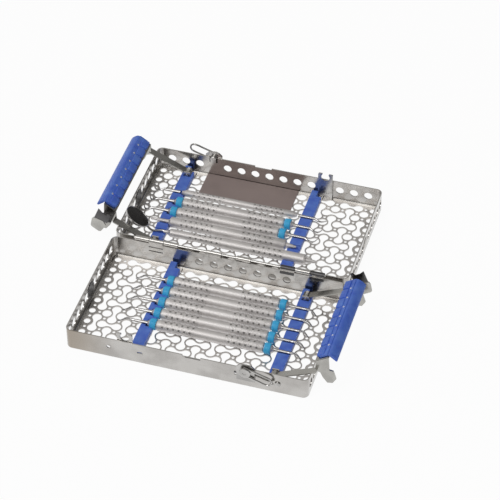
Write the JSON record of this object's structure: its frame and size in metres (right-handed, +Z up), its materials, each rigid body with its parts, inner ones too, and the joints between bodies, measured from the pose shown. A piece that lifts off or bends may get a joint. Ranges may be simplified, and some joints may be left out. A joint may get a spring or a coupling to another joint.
{
  "type": "dental instrument cassette",
  "caption": "Perforated steel instrument cassette lying open on its hinge, with silicone rails, swinging hold-down bars, turn latches and hand instruments.",
  "frame": {"origin": "on the table, under the middle of the hinge line, with the cassette lying open", "axes": "+X along the hinge line, -Y towards the base half, +Y towards the lid half, +Z up"},
  "size_m": [0.2424, 0.247, 0.0411],
  "materials": {
    "satin_steel": "satin stainless steel",
    "polished_steel": "mirror-polished stainless steel",
    "handle_steel": "satin stainless steel with knurled ends",
    "blue_silicone": "royal blue silicone",
    "sky_silicone": "sky blue silicone",
    "dark_plate": "smooth plate that reflects its surroundings",
    "mirror_black": "front-surface mirror, dark where it reflects nothing"
  },
  "bodies": {
    "base": {"base_floor_panel": "satin_steel", "base_wall_frame": "polished_steel", "base_left_rail_channel": "satin_steel", "base_left_rail_strip": "blue_silicone", "base_right_rail_channel": "satin_steel", "base_right_rail_strip": "blue_silicone", "base_catch": "polished_steel", "base_latch_bracket": "polished_steel", "base_bar_pin_front": "polished_steel", "base_bar_pin_rear": "polished_steel", "hinge_pin": "polished_steel"},
    "base_latch": {"base_latch_cam": "polished_steel", "base_latch_lever": "polished_steel"},
    "base_bar": {"base_bar_frame": "polished_steel", "base_bar_pad": "blue_silicone"},
    "base_scaler_1": {"base_scaler_1_handle": "handle_steel", "base_scaler_1_ring_left": "sky_silicone", "base_scaler_1_ring_right": "sky_silicone"},
    "base_scaler_2": {"base_scaler_2_handle": "handle_steel", "base_scaler_2_ring_left": "sky_silicone", "base_scaler_2_ring_right": "sky_silicone"},
    "base_scaler_3": {"base_scaler_3_handle": "handle_steel", "base_scaler_3_ring_left": "sky_silicone", "base_scaler_3_ring_right": "sky_silicone"},
    "base_scaler_4": {"base_scaler_4_handle": "handle_steel", "base_scaler_4_ring_left": "sky_silicone", "base_scaler_4_ring_right": "sky_silicone"},
    "base_scaler_5": {"base_scaler_5_handle": "handle_steel", "base_scaler_5_ring_left": "sky_silicone", "base_scaler_5_ring_right": "sky_silicone"},
    "lid": {"lid_floor_panel": "satin_steel", "lid_wall_frame": "polished_steel", "lid_left_rail_channel": "satin_steel", "lid_left_rail_strip": "blue_silicone", "lid_right_rail_channel": "satin_steel", "lid_right_rail_strip": "blue_silicone", "lid_catch": "polished_steel", "lid_latch_bracket": "polished_steel", "lid_bar_pin_front": "polished_steel", "lid_bar_pin_rear": "polished_steel", "lid_cover_plate": "dark_plate"},
    "lid_latch": {"lid_latch_cam": "polished_steel", "lid_latch_lever": "polished_steel"},
    "lid_bar": {"lid_bar_frame": "polished_steel", "lid_bar_pad": "blue_silicone"},
    "lid_explorer_1": {"lid_explorer_1_handle": "handle_steel"},
    "lid_scaler_2": {"lid_scaler_2_handle": "handle_steel", "lid_scaler_2_ring_left": "sky_silicone", "lid_scaler_2_ring_right": "sky_silicone"},
    "lid_scaler_3": {"lid_scaler_3_handle": "handle_steel", "lid_scaler_3_ring_left": "sky_silicone", "lid_scaler_3_ring_right": "sky_silicone"},
    "lid_probe_4": {"lid_probe_4_handle": "handle_steel"},
    "lid_mirror_5": {"lid_mirror_5_handle": "handle_steel", "lid_mirror_5_head": "polished_steel", "lid_mirror_5_glass": "mirror_black"}
  },
  "joints": [
    {"name": "lid_hinge", "type": "hinge", "parent": "base", "child": "lid", "pos_m": [0, 0, 0.0215], "axis": [-1, 0, 0], "range_deg": [-180, 0]},
    {"name": "base_scaler_1_lift", "type": "slide", "parent": "base", "child": "base_scaler_1", "axis": [0, 0, 1], "range_m": [0, 0.03]},
    {"name": "base_scaler_2_lift", "type": "slide", "parent": "base", "child": "base_scaler_2", "axis": [0, 0, 1], "range_m": [0, 0.03]},
    {"name": "base_scaler_3_lift", "type": "slide", "parent": "base", "child": "base_scaler_3", "axis": [0, 0, 1], "range_m": [0, 0.03]},
    {"name": "base_scaler_4_lift", "type": "slide", "parent": "base", "child": "base_scaler_4", "axis": [0, 0, 1], "range_m": [0, 0.03]},
    {"name": "base_scaler_5_lift", "type": "slide", "parent": "base", "child": "base_scaler_5", "axis": [0, 0, 1], "range_m": [0, 0.03]},
    {"name": "base_bar_pivot", "type": "hinge", "parent": "base", "child": "base_bar", "pos_m": [0.0709, -0.06042, 0.0077], "axis": [0, 1, 0], "range_deg": [-133, 0]},
    {"name": "base_latch_turn", "type": "hinge", "parent": "base", "child": "base_latch", "pos_m": [0.0508, -0.11884, 0.0189], "axis": [0, 1, 0], "range_deg": [-60, 0]},
    {"name": "lid_explorer_1_lift", "type": "slide", "parent": "lid", "child": "lid_explorer_1", "axis": [0, 0, 1], "range_m": [0, 0.03]},
    {"name": "lid_scaler_2_lift", "type": "slide", "parent": "lid", "child": "lid_scaler_2", "axis": [0, 0, 1], "range_m": [0, 0.03]},
    {"name": "lid_scaler_3_lift", "type": "slide", "parent": "lid", "child": "lid_scaler_3", "axis": [0, 0, 1], "range_m": [0, 0.03]},
    {"name": "lid_probe_4_lift", "type": "slide", "parent": "lid", "child": "lid_probe_4", "axis": [0, 0, 1], "range_m": [0, 0.03]},
    {"name": "lid_mirror_5_lift", "type": "slide", "parent": "lid", "child": "lid_mirror_5", "axis": [0, 0, 1], "range_m": [0, 0.03]},
    {"name": "lid_bar_pivot", "type": "hinge", "parent": "lid", "child": "lid_bar", "pos_m": [-0.0709, 0.06042, 0.0077], "axis": [0, -1, 0], "range_deg": [-133, 0]},
    {"name": "lid_latch_turn", "type": "hinge", "parent": "lid", "child": "lid_latch", "pos_m": [-0.0508, 0.11884, 0.0189], "axis": [0, 1, 0], "range_deg": [-60, 0]}
  ]
}
